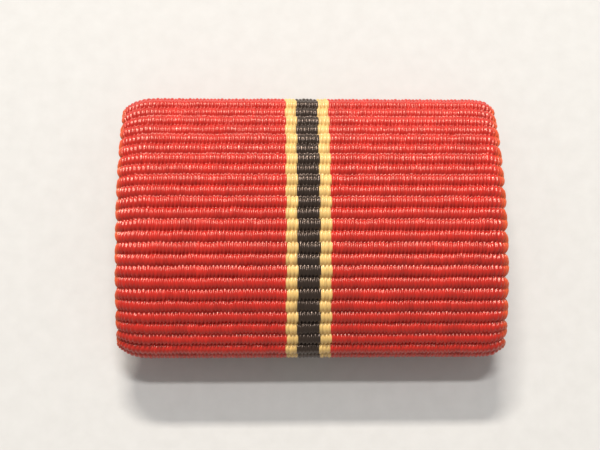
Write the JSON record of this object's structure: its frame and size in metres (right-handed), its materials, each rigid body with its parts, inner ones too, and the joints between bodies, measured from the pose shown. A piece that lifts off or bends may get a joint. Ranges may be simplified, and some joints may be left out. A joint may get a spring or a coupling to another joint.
{
  "type": "service ribbon bar",
  "caption": "Single ribbon bar: ribbed ribbon in red with a gold and black centre stripe, wrapped over a domed plate, with a hinged pin and a turning catch on its back.",
  "frame": {"origin": "middle of the box's underside, level with the feet of the brooch fitting on its back", "axes": "+X along the bar's width, to the right as the ribbon's face is seen; +Y towards its top edge; +Z out of the ribbon's face"},
  "size_m": [0.025, 0.0176, 0.0058],
  "materials": {
    "ribbon_cloth": "coarse warp-faced rib weave, red with a gold-black-gold centre stripe",
    "buckram": "stiffened open weave",
    "carrier_steel": "zinc plated sheet",
    "nickel_plate": "nickel plated, lightly worn",
    "rivet_steel": "satin",
    "pin_steel": "polished along its length",
    "catch_brass": "satin turned brass"
  },
  "bodies": {
    "bar": {"ribbon": "ribbon_cloth", "interlining": "buckram", "carrier_plate": "carrier_steel", "back_plate": "nickel_plate", "rivet_left": "rivet_steel", "rivet_right": "rivet_steel", "pin_base": "nickel_plate", "hinge_rivet": "rivet_steel", "catch_housing": "nickel_plate"},
    "pin": {"pin_stem": "pin_steel"},
    "catch": {"catch_sleeve": "catch_brass"}
  },
  "joints": [
    {"name": "pin_hinge", "type": "hinge", "parent": "bar", "child": "pin", "pos_m": [-0.009, 0, 0.0014], "axis": [0, 1, 0], "range_deg": [0, 110]},
    {"name": "catch_turn", "type": "hinge", "parent": "bar", "child": "catch", "pos_m": [0.0083, 0, 0.0014], "axis": [-1, 0, 0], "range_deg": [0, 100]}
  ]
}
